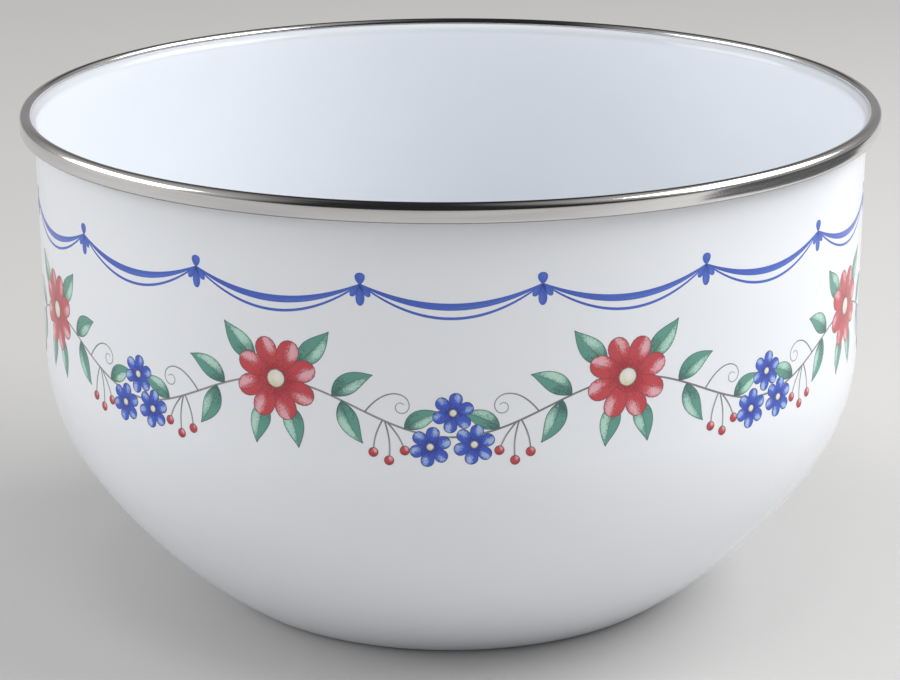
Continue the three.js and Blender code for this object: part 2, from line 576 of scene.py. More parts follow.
class Ink(Enum):
    """The inks of the print."""

    STEM = InkFinish("ink_stem_grey", (0.20, 0.20, 0.205), (0.26, 0.26, 0.265), (0.36, 0.36, 0.365),
                     (0.2, 0.2, 0.2))
    LEAF = InkFinish("ink_leaf_green", (0.050, 0.150, 0.130), (0.115, 0.330, 0.265), (0.46, 0.72, 0.60),
                     (0.085, 0.115, 0.115), (0.55, 0.55), 0.24 * MM, 0.055)
    RED = InkFinish("ink_petal_red", (0.40, 0.024, 0.036), (0.56, 0.060, 0.075), (0.78, 0.42, 0.46),
                    (0.13, 0.075, 0.085), (0.78, 0.42), 0.24 * MM, 0.03)
    BLUE = InkFinish("ink_petal_blue", (0.020, 0.046, 0.36), (0.045, 0.105, 0.56), (0.36, 0.50, 0.80),
                     (0.055, 0.065, 0.15), (0.76, 0.3), 0.22 * MM)
    BORDER = InkFinish("ink_border_blue", (0.052, 0.115, 0.50), (0.060, 0.130, 0.54), (0.085, 0.165, 0.58),
                       (0.05, 0.1, 0.4))
    HEART = InkFinish("ink_heart_cream", (0.70, 0.62, 0.42), (0.78, 0.74, 0.62), (0.82, 0.82, 0.80),
                      (0.10, 0.085, 0.085), (0.6, 0.2), 0.26 * MM)

    def material(self) -> bpy.types.Material:
        """The ink's material, made once."""
        return bpy.data.materials.get(self.value.name) or self.value.material()


@dataclass(frozen=True)
class StageFinish:
    """Smooth matt finish of the stage, with a faint mottle from its colour to its shade."""

    name: str
    colour: Colour
    shade: Colour
    roughness: float = 0.7

    def material(self) -> bpy.types.Material:
        """Makes the material: a faint mottle on a matt surface."""
        shader = Shader(self.name)
        mottle = shader.noise(shader.place(), 9.0, 4.0)
        shader.dress(Base_Color=shader.mix(mottle, self.colour, self.shade), Roughness=self.roughness)
        return shader.material


# Bowl


@dataclass(frozen=True)
class RimSizes:
    """Sizes of the rim band, which the bowl's lip fits into."""

    radius: float
    top: float
    height: float = 5.15 * MM
    thickness: float = 0.4 * MM
    roll_radius: float = 1.9 * MM
    nose_radius: float = 1.3 * MM
    hem_radius: float = 0.55 * MM
    clearance: float = 0.1 * MM

    @classmethod
    def from_frame(cls) -> "RimSizes":
        """Takes the rim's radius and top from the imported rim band."""
        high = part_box("rim_band")[1]
        return cls(radius=high.x, top=high.z)

    @property
    def roll_centre(self) -> Array:
        """Centre of the roll, one roll radius in from the rim's side and top."""
        return np.array([self.radius, self.top]) - self.roll_radius


@dataclass
class PressedBowl:
    """The pressed steel shell and the enamel coat on each of its faces.

    All sizes but the thicknesses are measured on the outer enamel. The scuff height is how far the table's
    scuffs reach up, and the lip shade depth is how far below the rim's top the inside coat starts to grey
    with painted shade.
    """

    rim: RimSizes
    wall_taper: float = math.radians(0.6)
    shoulder_height: float = 72 * MM
    shoulder_radius: float = 55.6 * MM
    shoulder_turn: float = math.radians(32.8)
    standing_radius: float = 62.5 * MM
    standing_ring_width: float = 8 * MM
    base_corner_radius: float = 8 * MM
    push_up: float = 1 * MM
    push_up_bend_radius: float = 9 * MM
    steel_thickness: float = 0.7 * MM
    outside_enamel_thickness: float = 0.25 * MM
    inside_enamel_thickness: float = 0.25 * MM
    bond_gap: float = 0.02 * MM
    lip_flare: float = math.radians(78)
    lip_flare_radius: float = 1.4 * MM
    lip_width: float = 2.4 * MM
    scuff_height: float = 0.25 * MM
    thin_lip_height: float = 4.5 * MM
    sectors: int = 288

    @property
    def wall_thickness(self) -> float:
        """Both enamel coats, the steel and the two bond gaps."""
        coats = self.outside_enamel_thickness + self.inside_enamel_thickness
        return coats + self.steel_thickness + 2 * self.bond_gap

    @property
    def lip_angle(self) -> float:
        """Angle of the lip's underside below the horizontal normal."""
        return self.wall_taper + self.lip_flare

    @property
    def lip_edge(self) -> Array:
        """Outer corner of the lip.

        The lip's middle line passes through the roll's centre, and its two corners stop one clearance
        short of the inside of the roll.
        """
        room = self.rim.roll_radius - self.rim.thickness - self.rim.clearance
        half = self.wall_thickness / 2
        reach = math.sqrt(room**2 - half**2)
        heading = np.array([math.sin(self.lip_angle), math.cos(self.lip_angle)])
        return self.rim.roll_centre + reach * heading + half * self._normal(self.lip_angle)

    def outer_face(self) -> Section:
        """Outer face of the bowl, from the middle of the base to the edge of the lip.

        The flank is the one arc that leaves the shoulder smoothly and touches the base corner's circle
        from inside: its centre lies on the normal of the shoulder's foot.

        Returns:
            The section of the outer enamel.
        """
        taper, lip = self.wall_taper, self.lip_angle
        foot_angle = taper + self.shoulder_turn
        heading = np.array([math.sin(lip), math.cos(lip)])
        flare = self.lip_flare_radius * (self._normal(lip) - self._normal(taper))
        wall_top = self.lip_edge - self.lip_width * heading + flare
        wall_length = (wall_top[1] - self.shoulder_height) / math.cos(taper)
        shoulder_top = wall_top - wall_length * np.array([math.sin(taper), math.cos(taper)])
        foot_normal = self._normal(foot_angle)
        shoulder_foot = shoulder_top + self.shoulder_radius * (foot_normal - self._normal(taper))
        corner_centre = np.array([self.standing_radius, self.base_corner_radius])
        span = shoulder_foot - corner_centre
        corner = self.base_corner_radius
        flank_radius = (span @ span - corner**2) / (2 * (span @ foot_normal - corner))
        corner_normal = (corner_centre - shoulder_foot + flank_radius * foot_normal) / (flank_radius - corner)
        corner_angle = math.atan2(-corner_normal[1], corner_normal[0])
        push_up_turn = math.acos(1 - self.push_up / (2 * self.push_up_bend_radius))
        push_up_run = 2 * self.push_up_bend_radius * math.sin(push_up_turn)

        pen = SectionPen(0.0, self.push_up, FACING_DOWN)
        pen.run(self.standing_radius - self.standing_ring_width - push_up_run, 6)
        pen.bend(-self.push_up_bend_radius, FACING_DOWN + push_up_turn, 5)
        pen.bend(self.push_up_bend_radius, FACING_DOWN, 5)
        pen.run(self.standing_ring_width, 2)
        pen.bend(corner, corner_angle, 8)
        pen.bend(flank_radius, foot_angle, 16)
        pen.bend(self.shoulder_radius, taper, 20)
        pen.run(wall_length, 10)
        pen.bend(-self.lip_flare_radius, lip, 9)
        pen.run(self.lip_width, 2)
        return pen.section()

    def build(self) -> list[bpy.types.Object]:
        """Builds the steel shell and the two enamel coats, from the outside in.

        Returns:
            The three pieces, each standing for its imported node.
        """
        face = self.outer_face()
        steel_depth = self.outside_enamel_thickness + self.bond_gap
        steel_end = steel_depth + self.steel_thickness
        inside_depth = steel_end + self.bond_gap
        outside = EnamelFinish(
            "outside_enamel_gloss",
            (0.845, 0.868, 0.905),
            (0.835, 0.859, 0.897),
            worn_below=self.scuff_height,
        )
        # Painted shade: the inside coat is a darker, bluer copy of the outside enamel's colour
        inside = EnamelFinish(
            "inside_enamel_gloss",
            (0.785, 0.815, 0.857),
            (0.777, 0.808, 0.851),
            # Painted shade on the inside coat near the lip, from this depth under the rim's top
            thin_above=self.rim.top - self.thin_lip_height,
        )
        layers = [
            ("outside_enamel", 0.0, self.outside_enamel_thickness, outside.material(), "outside_enamel"),
            ("steel_shell", steel_depth, steel_end, SheetSteelFinish().material(), "sheet_steel"),
            ("inside_enamel", inside_depth, self.wall_thickness, inside.material(), "inside_enamel"),
        ]
        pieces = []
        for node, outer, inner, material, slot in layers:
            piece = turned(face.layer(outer, inner), self.sectors).to_object(f"{node}_smooth", material)
            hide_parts(node)
            pieces.append(piece)
        return pieces

    @staticmethod
    def _normal(angle: float) -> Array:
        """Unit normal at an angle below the horizontal."""
        return np.array([math.cos(angle), -math.sin(angle)])


@dataclass
class RimBand:
    """The stainless strip: a folded hem under the lip, a skirt, a roll over the lip and a nose inside.

    Attributes:
        rim: Sizes of the strip.
        bowl: The bowl that it is rolled onto.
        fold_fade: Shares of the hem's turn from its bottom to the skirt at which its painted shade fades.
        sectors: Number of vertices in a ring.
    """

    rim: RimSizes
    bowl: PressedBowl
    fold_fade: tuple[float, float] = (0.55, 0.95)
    sectors: int = 384

    def face(self) -> Section:
        """Outer face of the strip, from the top of the hem's folded leg to the foot of the nose.

        The hem's leg stops one clearance under the lip, and the nose one clearance above it.

        Returns:
            The section of the strip's outer face.
        """
        rim = self.rim
        angle = self.bowl.lip_angle
        under = self.bowl.lip_edge
        over = under - self.bowl.wall_thickness * np.array([math.cos(angle), -math.sin(angle)])
        hem_radius = rim.radius - 2 * rim.hem_radius
        hem_top = self._lip_height(under, hem_radius) - rim.clearance
        skirt_foot = rim.top - rim.height + rim.hem_radius
        nose_radius = rim.roll_centre[0] - rim.nose_radius + rim.thickness
        nose_foot = self._lip_height(over, nose_radius) + rim.clearance

        pen = SectionPen(hem_radius, hem_top, FACING_IN)
        pen.run(hem_top - skirt_foot, 3)
        pen.bend(rim.hem_radius, FACING_OUT, 12)
        pen.run(rim.roll_centre[1] - skirt_foot, 3)
        pen.bend(rim.roll_radius, FACING_UP, 14)
        pen.bend(rim.nose_radius, -FACING_IN, 10)
        pen.run(rim.top - rim.nose_radius - nose_foot)
        return pen.section()

    def build(self) -> bpy.types.Object:
        """Builds the strip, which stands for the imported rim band."""
        face = self.face()
        down = face.lengths[np.flatnonzero(np.isclose(face.angles, FACING_DOWN))[0]]
        quarter = math.pi / 2 * self.rim.hem_radius
        finish = StainlessFinish((down + self.fold_fade[0] * quarter, down + self.fold_fade[1] * quarter))
        strip = turned(face.layer(0.0, self.rim.thickness), self.sectors)
        piece = strip.to_object("rim_band_smooth", finish.material())
        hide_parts("rim_band")
        return piece

    def _lip_height(self, start: Array, radius: float) -> float:
        """Height of a face of the lip at a radius, on the straight line through a point along the lip."""
        return start[1] + (radius - start[0]) / math.tan(self.bowl.lip_angle)


# Print


class Lift(Enum):
    """Height of each printing over the enamel, in the order that the inks go on."""

    STEM = 0.020 * MM
    LEAF = 0.028 * MM
    UNDER_PETAL = 0.036 * MM
    OVER_PETAL = 0.044 * MM
    HEART = 0.052 * MM
    DOT = 0.060 * MM


class Outline(Enum):
    """How a blade's half-width swells between its foot and its tip.

    The value is how much fuller a round blade is at its tip. A lance has a curve of its own.
    """

    EGG = 0.28
    DISC = 0.0
    LANCE = -1.0

    def profile(self, rows: int) -> tuple[Array, Array]:
        """Shares of the length and of the half-width, from foot to tip.

        A lance swells as the sine of a half turn, fullest below its middle. A disc is a half circle, with
        its length as one less the cosine and its half-width as the sine. An egg is a disc fuller at its tip.

        Args:
            rows: Number of rows from foot to tip.

        Returns:
            Share of the length, and share of the half-width, for each row.
        """
        share = np.linspace(0.0, 1.0, rows)
        if self is Outline.LANCE:
            length, width = share, np.sin(np.pi * share**LANCE_SKEW)
        else:
            length = (1 - np.cos(np.pi * share)) / 2
            width = np.sin(np.pi * share) * (1 - self.value * np.cos(np.pi * share))
        return length, np.maximum(width / width.max(), BLUNT_TIP)


@dataclass(frozen=True)
class Motif:
    """Like shapes drawn flat, each a grid of rows along it and columns across it.

    Attributes:
        grid: Flat points, with the shape (shapes, rows, columns, 2).
        values: Named numbers for the inks, each with the shape (shapes, rows, columns).
        closed: Whether each shape's last row joins its first.
    """

    grid: Array
    values: dict[str, Array]
    closed: bool = False

    @staticmethod
    def blades(table: Array, outline: Outline, rows: int = 11, columns: int = 7) -> "Motif":
        """Draws petals, leaves or discs.

        The middle line is an arc: from the foot, the chord to a share v of the length has the length times v
        times the sinc of half the turn so far, and half that turn. The width lies square to the line.

        Args:
            table: One row for each blade, in metres and radians: foot x, foot y, heading, length, half-width
                and turn.
            outline: How the half-width swells.
            rows: Rows from foot to tip.
            columns: Columns across.

        Returns:
            The blades, with their values along, across, edge and tone.
        """
        x, y, heading, length, half_width, turn = (column[:, None] for column in np.asarray(table).T)
        along, swell = outline.profile(rows)
        chord = length * along * np.sinc(turn * along / (2 * np.pi))
        bearing = heading + turn * along / 2
        middle = np.stack([x + chord * np.cos(bearing), y + chord * np.sin(bearing)], axis=-1)
        facing = heading + turn * along
        right = np.stack([np.sin(facing), -np.cos(facing)], axis=-1) * (half_width * swell)[..., None]
        across = np.linspace(-1.0, 1.0, columns)
        grid = middle[:, :, None] + right[:, :, None] * across[:, None]
        values = {
            "along": np.broadcast_to(along[:, None], grid.shape[:3]),
            "across": np.broadcast_to(across, grid.shape[:3]),
            "edge": edge_distances(grid),
            "tone": tones(grid),
        }
        return Motif(grid, values)

    @staticmethod
    def strokes(path: Array, half_width: Array, closed: bool = False, columns: int = 3) -> "Motif":
        """Draws lines: points on each side of a path, at the half-width square to it.

        Args:
            path: Flat points, with the shape (strokes, rows, 2).
            half_width: Half-width at each point of the path.
            closed: Whether each path runs on past its end, so that its last row joins its first.
            columns: Columns across.

        Returns:
            The strokes, with their values along, across, edge and tone.
        """
        step = np.gradient(path, axis=1)
        step = step / np.linalg.norm(step, axis=-1, keepdims=True)
        widths = np.broadcast_to(half_width, path.shape[:2])[..., None]
        right = np.stack([step[..., 1], -step[..., 0]], axis=-1) * widths
        across = np.linspace(-1.0, 1.0, columns)
        grid = path[:, :, None] + right[:, :, None] * across[:, None]
        along = np.linspace(0.0, 1.0, path.shape[1])
        values = {
            "along": np.broadcast_to(along[:, None], grid.shape[:3]),
            "across": np.broadcast_to(across, grid.shape[:3]),
            "edge": np.ones(grid.shape[:3]),
            "tone": tones(grid),
        }
        return Motif(grid, values, closed)


def rim_numbers(rows: int, columns: int) -> Array:
    """Vertex numbers of a grid's rim, counter-clockwise from the left end of its foot."""
    numbers = np.arange(rows * columns).reshape(rows, columns)
    return np.concatenate([numbers[0, :-1], numbers[:-1, -1], numbers[-1, :0:-1], numbers[:0:-1, 0]])


def edge_distances(grid: Array) -> Array:
    """Distance of each flat point from its own shape's rim.

    Each is the least distance to the rim's chords: the offset from a chord's start, less its share along the
    chord kept between nought and one.

    Args:
        grid: Flat points, with the shape (shapes, rows, columns, 2).

    Returns:
        Distances, with the shape (shapes, rows, columns).
    """
    shapes, rows, columns, _ = grid.shape
    points = grid.reshape(shapes, -1, 2)
    starts = points[:, rim_numbers(rows, columns)]
    chords = np.roll(starts, -1, axis=1) - starts
    offsets = points[:, :, None] - starts[:, None]
    lengths = np.maximum((chords**2).sum(axis=-1), LEAST_SQUARE)
    shares = np.clip((offsets * chords[:, None]).sum(axis=-1) / lengths[:, None], 0.0, 1.0)
    gaps = np.linalg.norm(offsets - shares[..., None] * chords[:, None], axis=-1)
    return gaps.min(axis=2).reshape(shapes, rows, columns)


def tones(grid: Array) -> Array:
    """One seeded random number from 0 to 1 for each shape, spread over its grid."""
    numbers = np.random.default_rng(grid.shape[0]).random(grid.shape[0])
    return np.broadcast_to(numbers[:, None, None], grid.shape[:3])


@dataclass(frozen=True)
class PrintedWall:
    """The outer wall as a flat sheet that the print is drawn on.

    A flat point (x, y) lies x round the wall from the front, to the right as seen from outside, and y up the
    wall from the print line.

    Attributes:
        face: Section of the outer enamel.
        line_height: Height of the print line.
        sink: Depth of the films' bottoms under the enamel's face.
    """

    face: Section
    line_height: float = 86 * MM
    sink: float = 0.05 * MM

    @property
    def girth(self) -> float:
        """Length round the wall at the print line."""
        return 2 * math.pi * self._radius()

    def place(self, flat: Array, lift: float) -> Array:
        """Lays flat points on the wall, lifted along its normal.

        The angle round the axis is x over the wall's radius, from -Y. The height y is a length along the
        section, which gives the radius, the height and the normal there.

        Args:
            flat: Flat points, with two numbers along the last axis.
            lift: Distance over the enamel, negative for a depth.

        Returns:
            Points in space, with three numbers along the last axis.
        """
        points = self.face.inset(-lift)
        lengths = self.face.lengths
        station = self._line_station() + flat[..., 1]
        radius = np.interp(station, lengths, points[:, 0])
        height = np.interp(station, lengths, points[:, 1])
        turn = flat[..., 0] / self._radius() - math.pi / 2
        return np.stack([radius * np.cos(turn), radius * np.sin(turn), height], axis=-1)

    def film(self, motif: Motif, lift: Lift) -> MeshData:
        """Makes each shape of a motif a closed film, with its bottom sunk into the enamel.

        Args:
            motif: Flat shapes.
            lift: Height of its printing.

        Returns:
            All the films as one mesh.
        """
        shapes, rows, columns, _ = motif.grid.shape
        count = rows * columns
        top = self.place(motif.grid, lift.value).reshape(shapes, count, 3)
        bottom = self.place(motif.grid, -self.sink).reshape(shapes, count, 3)
        quads = grid_quads(rows, columns, motif.closed, False)
        if motif.closed:
            left = np.arange(rows) * columns
            right = left + columns - 1
            starts = np.concatenate([np.roll(left, -1), right])
            ends = np.concatenate([left, np.roll(right, -1)])
        else:
            starts = rim_numbers(rows, columns)
            ends = np.roll(starts, -1)
        walls = np.stack([starts + count, ends + count, ends, starts], axis=1)
        faces = np.concatenate([quads, quads[:, ::-1] + count, walls])
        offsets = np.arange(shapes)[:, None, None] * 2 * count
        vertices = np.concatenate([top, bottom], axis=1).reshape(-1, 3)
        values = {
            label: np.tile(numbers.reshape(shapes, 1, count), (1, 2, 1))
            for label, numbers in motif.values.items()
        }
        return MeshData(vertices, [(faces + offsets).reshape(-1, 4)], values)

    def _radius(self) -> float:
        """Radius of the wall at the print line."""
        return float(np.interp(self._line_station(), self.face.lengths, self.face.points[:, 0]))

    def _line_station(self) -> float:
        """Length along the section, from the middle of the base, at the print line."""
        heights = self.face.points[:, 1]
        start = len(heights) - int(np.argmin(heights[::-1])) - 1
        return float(np.interp(self.line_height, heights[start:], self.face.lengths[start:]))


def joined(films: list[MeshData]) -> MeshData:
    """Several films as one mesh, with each one's vertex numbers moved past those before it."""
    counts = np.cumsum([0] + [len(film.vertices) for film in films])
    faces = [np.concatenate([film.faces[0] + start for film, start in zip(films, counts)])]
    labels = films[0].values
    values = {label: np.concatenate([film.values[label].ravel() for film in films]) for label in labels}
    return MeshData(np.concatenate([film.vertices for film in films]), faces, values)


@dataclass(frozen=True)
class FlowerSizes:
    """Sizes of one kind of flower.

    Attributes:
        petals: Number of petals.
        length: Length of a petal.
        half_width: Half-width of a petal.
        start: Distance of the petals' feet from the flower's middle, as a share of their length.
        heart_radius: Radius of the heart.
        bend: Turn along a petal, in radians.
    """

    petals: int
    length: float
    half_width: float
    start: float
    heart_radius: float
    bend: float = 0.12


@dataclass
class Garland:
    """A waving vine round the wall, with daisies on its crests and bluets in its hollows.

    In each repeat, x runs from the daisy and y from the print line. The tables are in millimetres and
    degrees. Leaves and berries are mirrored to the other side of the daisy.

    Attributes:
        wall: The wall that it is printed on.
        repeats: Number of repeats round the wall.
        swing: Height of the vine's crests over the print line.
        tendril_place: Distance of a tendril's foot from the daisy.
        tendril_lean: Angle between the tendril's foot and the vine.
        tendril_bend: Turn along a tendril that is spread evenly.
        tendril_curl: Turn along a tendril that gathers at its tip.
        tendril_taper: Share of its width that a tendril loses.
        petal_heading: Heading of a flower's first petal, in radians.
        stalk_bow: How far a berry's stalk bows to one side.
        vine_rows: Rows of the vine in a repeat.
        tendril_rows: Rows of a tendril.
        stalk_rows: Rows of a stalk.
    """

    wall: PrintedWall
    repeats: int = 8
    swing: float = 6.5 * MM
    vine_half_width: float = 0.26 * MM
    tendril_half_width: float = 0.21 * MM
    tendril_length: float = 24 * MM
    tendril_place: float = 23.5 * MM
    tendril_lean: float = math.radians(78)
    tendril_bend: float = math.radians(60)
    tendril_curl: float = math.radians(400)
    tendril_taper: float = 0.55
    daisy: FlowerSizes = FlowerSizes(8, 9.4 * MM, 3.0 * MM, 0.2, 2.5 * MM)
    bluet: FlowerSizes = FlowerSizes(6, 4.7 * MM, 1.75 * MM, 0.15, 1.05 * MM)
    petal_heading: float = 0.3
    berry_radius: float = 1.3 * MM
    stalk_bow: float = 0.6 * MM
    vine_rows: int = 96
    tendril_rows: int = 48
    stalk_rows: int = 10

    # Leaves on the vine: place along it, turn from it, length, half-width and bend
    vine_leaves: tuple[tuple[float, ...], ...] = (
        (15.0, 68.0, 12.5, 2.75, -34.0),
        (17.5, -56.0, 12.5, 2.7, 30.0),
        (33.5, 58.0, 10.5, 2.4, -30.0),
    )
    # Leaves behind the daisy: heading, distance of the foot from its middle, length, half-width and bend
    daisy_leaves: tuple[tuple[float, ...], ...] = (
        (38.0, 7.0, 13.0, 3.0, 16.0),
        (-66.0, 7.0, 12.0, 2.8, -18.0),
    )
    # Berries under the vine: place along it, and the berry's offset from there
    berries: tuple[tuple[float, ...], ...] = ((28.0, -2.4, -8.6), (28.6, 1.0, -10.4), (29.2, 4.4, -7.4))
    # Bluets round the bottom of the vine's hollow, as offsets from there
    bluets: tuple[tuple[float, ...], ...] = ((-5.5, -2.6), (5.6, -2.0), (0.3, 6.4))

    @property
    def period(self) -> float:
        """Length of one repeat."""
        return self.wall.girth / self.repeats

    def vine_height(self, x: Array) -> Array:
        """Height of the vine: a cosine with one wave to each repeat."""
        return self.swing * np.cos(2 * np.pi * x / self.period)

    def vine_slope(self, x: Array) -> Array:
        """Direction of the vine: the angle whose tangent is the cosine's slope."""
        wave = 2 * np.pi / self.period
        return np.arctan(-self.swing * wave * np.sin(wave * x))

    def build(self) -> list[bpy.types.Object]:
        """Prints the garland.

        Returns:
            One piece for each printing, in the order that the inks go on.
        """
        wall = self.wall
        daisies, bluets = self._daisy_centres(), self._bluet_centres()
        stems = [self._vine(), self._tendrils(), self._berry_stalks()]
        hearts = [
            self._discs(daisies, self.daisy.heart_radius),
            self._discs(bluets, self.bluet.heart_radius),
        ]
        berries = self._discs(self._berry_centres(), self.berry_radius)
        return [
            self._film("print_vine", [wall.film(stem, Lift.STEM) for stem in stems], Ink.STEM),
            self._film("print_leaves", [wall.film(self._leaves(), Lift.LEAF)], Ink.LEAF),
            self._film("print_daisies", self._two_lifts(self._petals(daisies, self.daisy)), Ink.RED),
            self._film("print_bluets", self._two_lifts(self._petals(bluets, self.bluet)), Ink.BLUE),
            self._film("print_hearts", [wall.film(heart, Lift.HEART) for heart in hearts], Ink.HEART),
            self._film("print_berries", [wall.film(berries, Lift.DOT)], Ink.RED),
        ]

    @staticmethod
    def _film(name: str, films: list[MeshData], ink: Ink) -> bpy.types.Object:
        """One printing as an object."""
        return joined(films).to_object(name, ink.material())

    def _two_lifts(self, table: Array) -> list[MeshData]:
        """Petals with every other one lifted over its neighbours."""
        under, over = (Motif.blades(part, Outline.EGG) for part in (table[0::2], table[1::2]))
        return [self.wall.film(under, Lift.UNDER_PETAL), self.wall.film(over, Lift.OVER_PETAL)]

    def _repeat(self, table: Array) -> Array:
        """Repeats rows that start with x round the wall, from half a repeat to the right of the front."""
        copies = np.tile(table, (self.repeats, 1))
        copies[:, 0] += np.repeat(self._shifts(), len(table))
        return copies

    def _shifts(self) -> Array:
        """Distance of each repeat's daisy round the wall."""
        return (np.arange(self.repeats) + 0.5) * self.period

    @staticmethod
    def _mirrored(blades: Array) -> Array:
        """Blades with their mirror images: x and bend change sign, and headings become supplements."""
        image = blades * np.array([-1.0, 1.0, -1.0, 1.0, 1.0, -1.0])
        image[:, 2] += np.pi
        return np.concatenate([blades, image])

    def _vine(self) -> Motif:
        """The vine, as one closed stroke."""
        x = np.linspace(0.0, self.wall.girth, self.vine_rows * self.repeats, endpoint=False)
        path = np.stack([x, self.vine_height(x - 0.5 * self.period)], axis=1)
        return Motif.strokes(path[None], self.vine_half_width, closed=True)

    def _tendrils(self) -> Motif:
        """Curls off the vine: the heading turns faster and faster along each, and the steps are summed."""
        side = np.array([1.0, -1.0])[:, None]
        share = np.linspace(0.0, 1.0, self.tendril_rows)
        x = self.tendril_place
        start = self.vine_slope(np.array(x)) + self.tendril_lean
        heading = start - self.tendril_bend * share - self.tendril_curl * share**3
        step = self.tendril_length / len(share)
        path_x = side * (x + step * (np.cumsum(np.cos(heading)) - math.cos(start)))
        path_y = self.vine_height(np.array(x)) + step * (np.cumsum(np.sin(heading)) - math.sin(start))
        paths = np.stack([path_x, np.broadcast_to(path_y, path_x.shape)], axis=-1)
        shifts = self._shifts()[:, None] * np.array([1.0, 0.0])
        paths = (paths[None] + shifts[:, None, None]).reshape(-1, len(share), 2)
        return Motif.strokes(paths, self.tendril_half_width * (1 - self.tendril_taper * share))

    def _leaves(self) -> Motif:
        """Leaves on the vine and behind the daisies."""
        place, turn, length, half_width, bend = np.array(self.vine_leaves).T
        x = place * MM
        on_vine = np.stack(
            [x, self.vine_height(x), self.vine_slope(x) + np.radians(turn), length * MM, half_width * MM,
             np.radians(bend)], axis=1)
        heading, distance, length, half_width, bend = np.array(self.daisy_leaves).T
        heading = np.radians(heading)
        behind = np.stack(
            [distance * MM * np.cos(heading), self.swing + distance * MM * np.sin(heading), heading,
             length * MM, half_width * MM, np.radians(bend)], axis=1)
        table = self._repeat(self._mirrored(np.concatenate([on_vine, behind])))
        return Motif.blades(table, Outline.LANCE, rows=15, columns=9)

    def _daisy_centres(self) -> Array:
        """Middles of the daisies, on the vine's crests."""
        return self._repeat(np.array([[0.0, self.swing]]))

    def _bluet_centres(self) -> Array:
        """Middles of the bluets, round the bottoms of the vine's hollows."""
        hollow = np.array([self.period / 2, -self.swing])
        return self._repeat(hollow + np.array(self.bluets) * MM)

    def _berry_feet(self) -> Array:
        """Feet of the berries' stalks on the vine, on both sides of the daisy."""
        x = np.array(self.berries)[:, 0] * MM
        feet = np.stack([x, self.vine_height(x)], axis=1)
        return self._repeat(np.concatenate([feet, feet * [-1.0, 1.0]]))

    def _berry_centres(self) -> Array:
        """Middles of the berries, on both sides of the daisy."""
        x = np.array(self.berries)[:, 0] * MM
        offsets = np.array(self.berries)[:, 1:] * MM
        centres = np.stack([x, self.vine_height(x)], axis=1) + offsets
        return self._repeat(np.concatenate([centres, centres * [-1.0, 1.0]]))

    def _berry_stalks(self) -> Motif:
        """Stalks from the vine to the berries: straight lines with a sine's bow to one side."""
        feet, tips = self._berry_feet(), self._berry_centres()
        share = np.linspace(0.0, 1.0, self.stalk_rows)[:, None]
        sideways = np.sign(tips - feet)[:, None, :1] * np.array([1.0, 0.0])
        bow = self.stalk_bow * np.sin(np.pi * share) * sideways
        path = feet[:, None] + share * (tips - feet)[:, None] + bow
        return Motif.strokes(path, self.tendril_half_width)

    def _petals(self, centres: Array, flower: FlowerSizes) -> Array:
        """Blade table of flowers: each petal's foot lies a share of its length from the middle.

        Args:
            centres: Middles of the flowers.
            flower: Their sizes.

        Returns:
            One row for each petal.
        """
        heading = 2 * np.pi * np.arange(flower.petals) / flower.petals + self.petal_heading
        ring = flower.start * flower.length * np.stack([np.cos(heading), np.sin(heading)], axis=1)
        feet = (centres[:, None] + ring).reshape(-1, 2)
        turns = np.tile(heading, len(centres))
        sizes = np.tile([flower.length, flower.half_width, flower.bend], (len(feet), 1))
        return np.column_stack([feet, turns, sizes])

    @staticmethod
    def _discs(centres: Array, radius: float) -> Motif:
        """Round dots: disc blades twice the radius long, starting one radius below their middles."""
        feet = centres - np.array([0.0, radius])
        sizes = np.tile([math.pi / 2, 2 * radius, radius, 0.0], (len(feet), 1))
        return Motif.blades(np.column_stack([feet, sizes]), Outline.DISC, rows=9, columns=7)


@dataclass
class SwagBorder:
    """A border of blue swags above the garland, each a heavy line over a light one, with drops between them.

    Attributes:
        wall: The wall that it is printed on.
        swags: Number of swags round the wall.
        top: Height of the swags' ends over the print line.
        heavy_drop: Sag of the heavy line.
        heavy_half_width: Its half-width at its lowest point.
        light_drop: Sag of the light line.
        light_half_width: Its half-width at its lowest point.
        end_half_width: Half-width of both lines at their ends.
        line_rows: Rows of a line.
        drops: Drops at each joint: heading in degrees, length and half-width in millimetres.
    """

    wall: PrintedWall
    swags: int = 16
    top: float = 33 * MM
    heavy_drop: float = 5.4 * MM
    heavy_half_width: float = 0.92 * MM
    light_drop: float = 8.4 * MM
    light_half_width: float = 0.36 * MM
    end_half_width: float = 0.18 * MM
    line_rows: int = 33
    drops: tuple[tuple[float, ...], ...] = (
        (-90.0, 5.6, 1.15),
        (-52.0, 4.0, 0.85),
        (-128.0, 4.0, 0.85),
        (90.0, 3.0, 1.3),
    )

    def build(self) -> bpy.types.Object:
        """Prints the border as one piece."""
        lines = [(self.heavy_drop, self.heavy_half_width), (self.light_drop, self.light_half_width)]
        films = [self.wall.film(self._line(drop, half), Lift.STEM) for drop, half in lines]
        films.append(self.wall.film(self._drops(), Lift.LEAF))
        return joined(films).to_object("print_border", Ink.BORDER.material())

    def _joints(self) -> Array:
        """Places of the joints round the wall."""
        return (np.arange(self.swags) + 0.5) * self.wall.girth / self.swags

    def _line(self, drop: float, half_width: float) -> Motif:
        """One hanging line of every swag: a parabola between two joints, widest at its lowest point."""
        share = np.linspace(-1.0, 1.0, self.line_rows)
        span = self.wall.girth / self.swags
        x = self._joints()[:, None] + span * (share + 1) / 2
        y = np.broadcast_to(self.top - drop * (1 - share**2), x.shape)
        width = self.end_half_width + (half_width - self.end_half_width) * (1 - share**2)
        return Motif.strokes(np.stack([x, y], axis=-1), width)

    def _drops(self) -> Motif:
        """Drops that hang from the joints."""
        heading, length, half_width = np.array(self.drops).T
        one = np.column_stack([np.radians(heading), length * MM, half_width * MM, np.zeros(len(heading))])
        sizes = np.tile(one, (self.swags, 1))
        x = np.repeat(self._joints(), len(heading))
        return Motif.blades(np.column_stack([x, np.full(len(x), self.top), sizes]), Outline.EGG)


